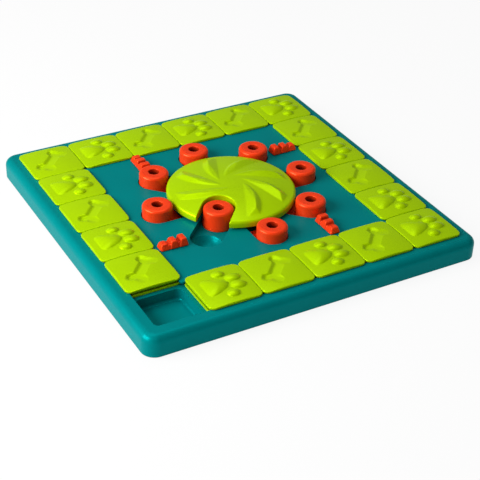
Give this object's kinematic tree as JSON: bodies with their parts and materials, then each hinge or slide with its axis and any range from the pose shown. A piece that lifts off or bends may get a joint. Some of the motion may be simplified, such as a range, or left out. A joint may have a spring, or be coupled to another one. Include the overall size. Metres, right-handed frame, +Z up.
{
  "type": "dog puzzle feeder toy",
  "caption": "Square treat puzzle for dogs: sliding tiles over pockets round a deck with a notched wheel, radial knob drawers and bone locks.",
  "frame": {"origin": "on the table under the middle of the tray", "axes": "+Z up; +X along the front edge, away from the corner with the open pocket; +Y from the front edge to the back"},
  "size_m": [0.42, 0.42, 0.0455],
  "materials": {
    "teal_plastic": "satin moulded",
    "lime_plastic": "satin moulded",
    "orange_plastic": "satin moulded",
    "black_rubber": "matt",
    "steel": "zinc plated"
  },
  "bodies": {
    "tray": {"outer_rim": "teal_plastic", "front_strip": "teal_plastic", "right_strip": "teal_plastic", "back_strip": "teal_plastic", "left_strip": "teal_plastic", "centre_deck": "teal_plastic", "drawer_track": "teal_plastic", "treat_bowls": "teal_plastic", "bottom_cover": "teal_plastic", "cover_screws": "steel", "rubber_feet": "black_rubber"},
    "wheel_body": {"wheel": "lime_plastic", "wheel_washer": "steel", "wheel_screw": "steel"},
    "drawer_1_body": {"drawer_1": "orange_plastic", "knob_1": "orange_plastic"},
    "drawer_2_body": {"drawer_2": "orange_plastic", "knob_2": "orange_plastic"},
    "drawer_3_body": {"drawer_3": "orange_plastic", "knob_3": "orange_plastic"},
    "drawer_4_body": {"drawer_4": "orange_plastic", "knob_4": "orange_plastic"},
    "drawer_5_body": {"drawer_5": "orange_plastic", "knob_5": "orange_plastic"},
    "drawer_6_body": {"drawer_6": "orange_plastic", "knob_6": "orange_plastic"},
    "drawer_7_body": {"drawer_7": "orange_plastic", "knob_7": "orange_plastic"},
    "drawer_8_body": {"drawer_8": "orange_plastic", "knob_8": "orange_plastic"},
    "lock_1_body": {"bone_lock_1": "orange_plastic", "latch_plate_1": "orange_plastic"},
    "lock_2_body": {"bone_lock_2": "orange_plastic", "latch_plate_2": "orange_plastic"},
    "lock_3_body": {"bone_lock_3": "orange_plastic", "latch_plate_3": "orange_plastic"},
    "lock_4_body": {"bone_lock_4": "orange_plastic", "latch_plate_4": "orange_plastic"},
    "left_tile_1_body": {"left_tile_1": "lime_plastic"},
    "left_tile_2_body": {"left_tile_2": "lime_plastic"},
    "left_tile_3_body": {"left_tile_3": "lime_plastic"},
    "left_tile_4_body": {"left_tile_4": "lime_plastic"},
    "left_tile_5_body": {"left_tile_5": "lime_plastic"},
    "front_tile_1_body": {"front_tile_1": "lime_plastic"},
    "front_tile_2_body": {"front_tile_2": "lime_plastic"},
    "front_tile_3_body": {"front_tile_3": "lime_plastic"},
    "front_tile_4_body": {"front_tile_4": "lime_plastic"},
    "front_tile_5_body": {"front_tile_5": "lime_plastic"},
    "right_tile_1_body": {"right_tile_1": "lime_plastic"},
    "right_tile_2_body": {"right_tile_2": "lime_plastic"},
    "right_tile_3_body": {"right_tile_3": "lime_plastic"},
    "right_tile_4_body": {"right_tile_4": "lime_plastic"},
    "back_tile_1_body": {"back_tile_1": "lime_plastic"},
    "back_tile_2_body": {"back_tile_2": "lime_plastic"},
    "back_tile_3_body": {"back_tile_3": "lime_plastic"},
    "back_tile_4_body": {"back_tile_4": "lime_plastic"},
    "back_tile_5_body": {"back_tile_5": "lime_plastic"}
  },
  "joints": [
    {"name": "wheel_turn", "type": "hinge", "parent": "tray", "child": "wheel_body", "pos_m": [0, 0, 0.028], "axis": [0, 0, 1], "range_deg": [-0.6, 0.6]},
    {"name": "drawer_1_slide", "type": "slide", "parent": "tray", "child": "drawer_1_body", "axis": [-0.7071, -0.7071, 0], "range_m": [0, 0.045]},
    {"name": "drawer_2_slide", "type": "slide", "parent": "tray", "child": "drawer_2_body", "axis": [0, -1, 0], "range_m": [-0.001, 0]},
    {"name": "drawer_3_slide", "type": "slide", "parent": "tray", "child": "drawer_3_body", "axis": [0.7071, -0.7071, 0], "range_m": [-0.001, 0]},
    {"name": "drawer_4_slide", "type": "slide", "parent": "tray", "child": "drawer_4_body", "axis": [1, 0, 0], "range_m": [-0.001, 0]},
    {"name": "drawer_5_slide", "type": "slide", "parent": "tray", "child": "drawer_5_body", "axis": [0.7071, 0.7071, 0], "range_m": [-0.001, 0]},
    {"name": "drawer_6_slide", "type": "slide", "parent": "tray", "child": "drawer_6_body", "axis": [0, 1, 0], "range_m": [-0.001, 0]},
    {"name": "drawer_7_slide", "type": "slide", "parent": "tray", "child": "drawer_7_body", "axis": [-0.7071, 0.7071, 0], "range_m": [-0.001, 0]},
    {"name": "drawer_8_slide", "type": "slide", "parent": "tray", "child": "drawer_8_body", "axis": [-1, 0, 0], "range_m": [-0.001, 0]},
    {"name": "lock_1_slide", "type": "slide", "parent": "tray", "child": "lock_1_body", "axis": [-1, 0, 0], "range_m": [0, 0.005]},
    {"name": "lock_2_slide", "type": "slide", "parent": "tray", "child": "lock_2_body", "axis": [0, 1, 0], "range_m": [0, 0.005]},
    {"name": "lock_3_slide", "type": "slide", "parent": "tray", "child": "lock_3_body", "axis": [1, 0, 0], "range_m": [0, 0.005]},
    {"name": "lock_4_slide", "type": "slide", "parent": "tray", "child": "lock_4_body", "axis": [0, -1, 0], "range_m": [0, 0.005]},
    {"name": "left_tile_1_slide", "type": "slide", "parent": "tray", "child": "left_tile_1_body", "axis": [0, -1, 0], "range_m": [0, 0.065]},
    {"name": "left_tile_2_slide", "type": "slide", "parent": "tray", "child": "left_tile_2_body", "axis": [0, -1, 0], "range_m": [0, 0.065]},
    {"name": "left_tile_3_slide", "type": "slide", "parent": "tray", "child": "left_tile_3_body", "axis": [0, -1, 0], "range_m": [0, 0.065]},
    {"name": "left_tile_4_slide", "type": "slide", "parent": "tray", "child": "left_tile_4_body", "axis": [0, -1, 0], "range_m": [0, 0.065]},
    {"name": "left_tile_5_slide", "type": "slide", "parent": "tray", "child": "left_tile_5_body", "axis": [0, -1, 0], "range_m": [0, 0.065]},
    {"name": "front_tile_1_slide", "type": "slide", "parent": "tray", "child": "front_tile_1_body", "axis": [1, 0, 0], "range_m": [-0.065, 0]},
    {"name": "front_tile_2_slide", "type": "slide", "parent": "tray", "child": "front_tile_2_body", "axis": [1, 0, 0], "range_m": [-0.065, 0]},
    {"name": "front_tile_3_slide", "type": "slide", "parent": "tray", "child": "front_tile_3_body", "axis": [1, 0, 0], "range_m": [-0.065, 0]},
    {"name": "front_tile_4_slide", "type": "slide", "parent": "tray", "child": "front_tile_4_body", "axis": [1, 0, 0], "range_m": [-0.065, 0]},
    {"name": "front_tile_5_slide", "type": "slide", "parent": "tray", "child": "front_tile_5_body", "axis": [1, 0, 0], "range_m": [-0.065, 0]},
    {"name": "right_tile_1_slide", "type": "slide", "parent": "tray", "child": "right_tile_1_body", "axis": [0, 1, 0], "range_m": [-0.00025, 0.00025]},
    {"name": "right_tile_2_slide", "type": "slide", "parent": "tray", "child": "right_tile_2_body", "axis": [0, 1, 0], "range_m": [-0.00025, 0.00025]},
    {"name": "right_tile_3_slide", "type": "slide", "parent": "tray", "child": "right_tile_3_body", "axis": [0, 1, 0], "range_m": [-0.00025, 0.00025]},
    {"name": "right_tile_4_slide", "type": "slide", "parent": "tray", "child": "right_tile_4_body", "axis": [0, 1, 0], "range_m": [-0.00025, 0.00025]},
    {"name": "back_tile_1_slide", "type": "slide", "parent": "tray", "child": "back_tile_1_body", "axis": [1, 0, 0], "range_m": [-0.00025, 0.00025]},
    {"name": "back_tile_2_slide", "type": "slide", "parent": "tray", "child": "back_tile_2_body", "axis": [1, 0, 0], "range_m": [-0.00025, 0.00025]},
    {"name": "back_tile_3_slide", "type": "slide", "parent": "tray", "child": "back_tile_3_body", "axis": [1, 0, 0], "range_m": [-0.00025, 0.00025]},
    {"name": "back_tile_4_slide", "type": "slide", "parent": "tray", "child": "back_tile_4_body", "axis": [1, 0, 0], "range_m": [-0.00025, 0.00025]},
    {"name": "back_tile_5_slide", "type": "slide", "parent": "tray", "child": "back_tile_5_body", "axis": [1, 0, 0], "range_m": [-0.00025, 0.00025]}
  ],
  "couplings": [
    {"joint": "left_tile_2_slide", "follows": "left_tile_1_slide", "ratio": 1},
    {"joint": "left_tile_3_slide", "follows": "left_tile_1_slide", "ratio": 1},
    {"joint": "left_tile_4_slide", "follows": "left_tile_1_slide", "ratio": 1},
    {"joint": "left_tile_5_slide", "follows": "left_tile_1_slide", "ratio": 1},
    {"joint": "front_tile_2_slide", "follows": "front_tile_1_slide", "ratio": 1},
    {"joint": "front_tile_3_slide", "follows": "front_tile_1_slide", "ratio": 1},
    {"joint": "front_tile_4_slide", "follows": "front_tile_1_slide", "ratio": 1},
    {"joint": "front_tile_5_slide", "follows": "front_tile_1_slide", "ratio": 1}
  ]
}
